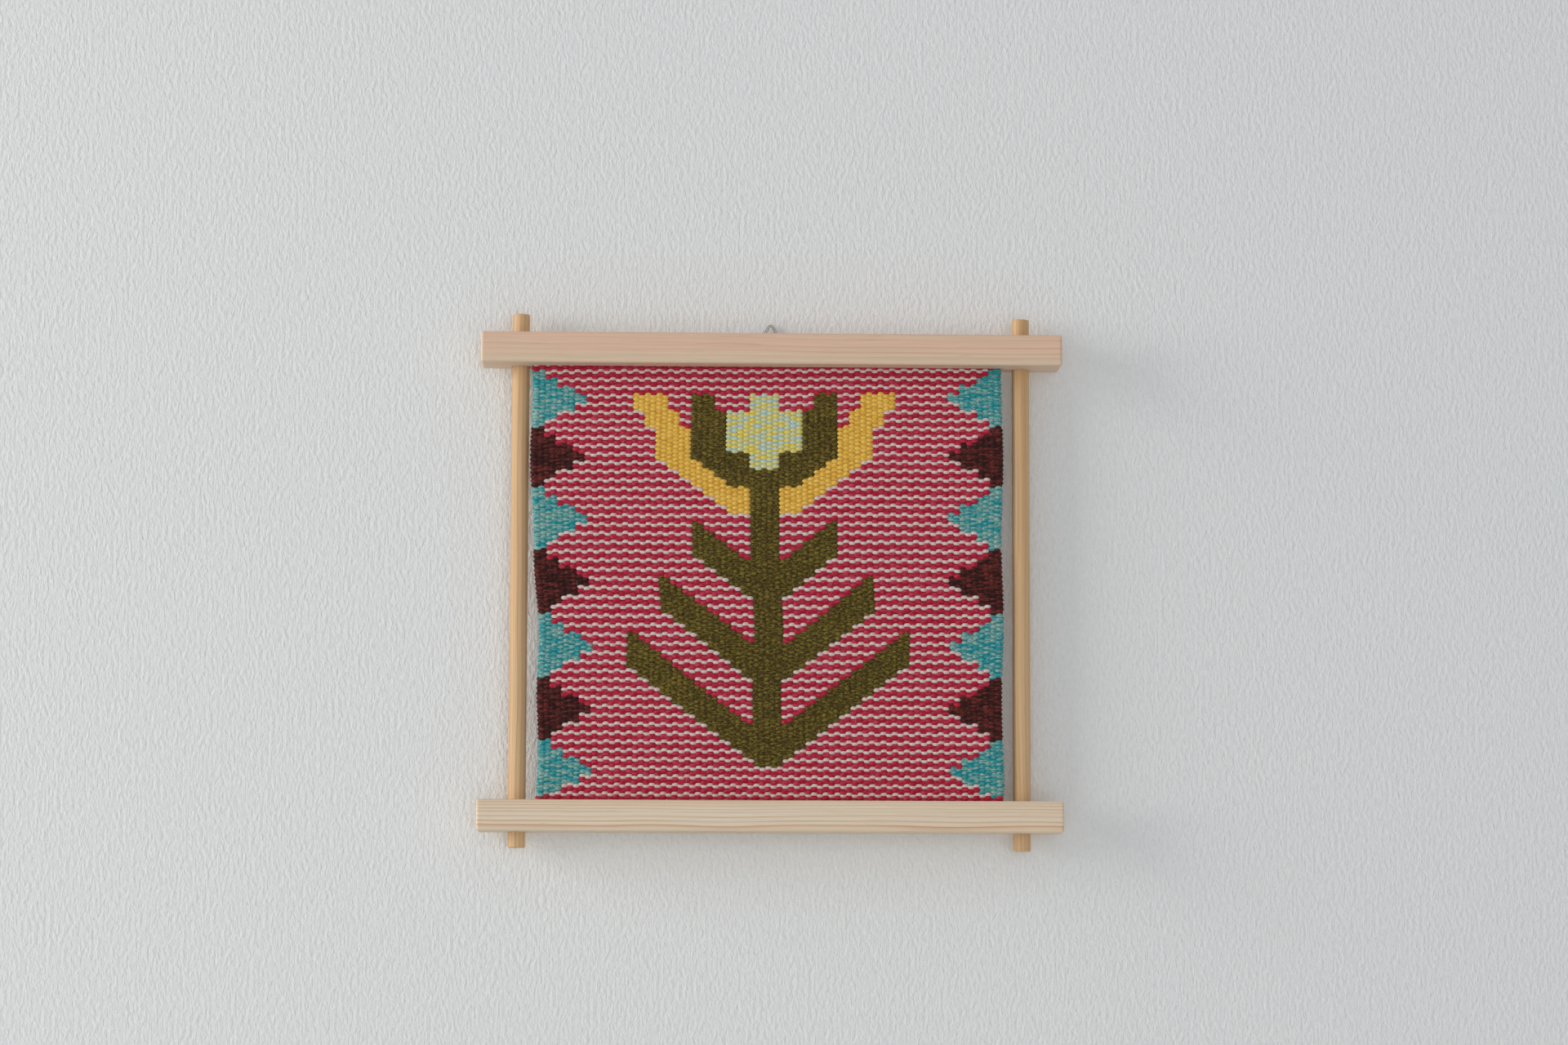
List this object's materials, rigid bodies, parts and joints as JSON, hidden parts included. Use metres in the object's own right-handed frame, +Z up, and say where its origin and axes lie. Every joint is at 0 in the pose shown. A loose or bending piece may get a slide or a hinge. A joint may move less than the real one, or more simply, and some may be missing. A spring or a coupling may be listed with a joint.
{
  "type": "tapestry wall hanging",
  "caption": "Small hand-woven tapestry with a stylised flower, gripped in a frame of square wooden rails and round dowels, hung by a wire ring.",
  "frame": {"origin": "Top of the hanger ring's eye, where the nail bears, midway through the wire.", "axes": "+X to the right along the rails, +Y into the wall, +Z up; the weaving faces -Y."},
  "size_m": [0.33, 0.0319, 0.305],
  "materials": {
    "top_rail_wood": "planed pine, unvarnished, slightly pink",
    "bottom_rail_wood": "planed pine, unvarnished, cream with fine straight grain",
    "dowel_wood": "sanded dowel, warm tan",
    "wool": "hand-woven wool yarn, matt, crimson and off-white stripes with a coloured flower",
    "wire": "bright drawn steel wire",
    "strap_steel": "bright-plated sheet steel",
    "screw_steel": "zinc-plated steel"
  },
  "bodies": {
    "frame": {"top_rail_front": "top_rail_wood", "top_rail_back": "top_rail_wood", "bottom_rail_front": "bottom_rail_wood", "bottom_rail_back": "bottom_rail_wood", "tapestry": "wool", "hanger_strap": "strap_steel", "hanger_screw": "screw_steel", "top_rail_screw_1": "screw_steel", "top_rail_screw_2": "screw_steel", "top_rail_screw_3": "screw_steel", "top_rail_screw_4": "screw_steel", "bottom_rail_screw_1": "screw_steel", "bottom_rail_screw_2": "screw_steel", "bottom_rail_screw_3": "screw_steel", "bottom_rail_screw_4": "screw_steel"},
    "ring": {"hanger_ring": "wire"},
    "left_rod": {"left_dowel": "dowel_wood"},
    "right_rod": {"right_dowel": "dowel_wood"}
  },
  "joints": [
    {"name": "ring_swing", "type": "hinge", "parent": "frame", "child": "ring", "pos_m": [0, 0, -0.0119], "axis": [-1, 0, 0], "range_deg": [-18, 160]},
    {"name": "left_dowel_slide", "type": "slide", "parent": "frame", "child": "left_rod", "axis": [0, 0, 1], "range_m": [-0.012, 0.0085]},
    {"name": "right_dowel_slide", "type": "slide", "parent": "frame", "child": "right_rod", "axis": [0, 0, 1], "range_m": [-0.011, 0.0095]}
  ]
}
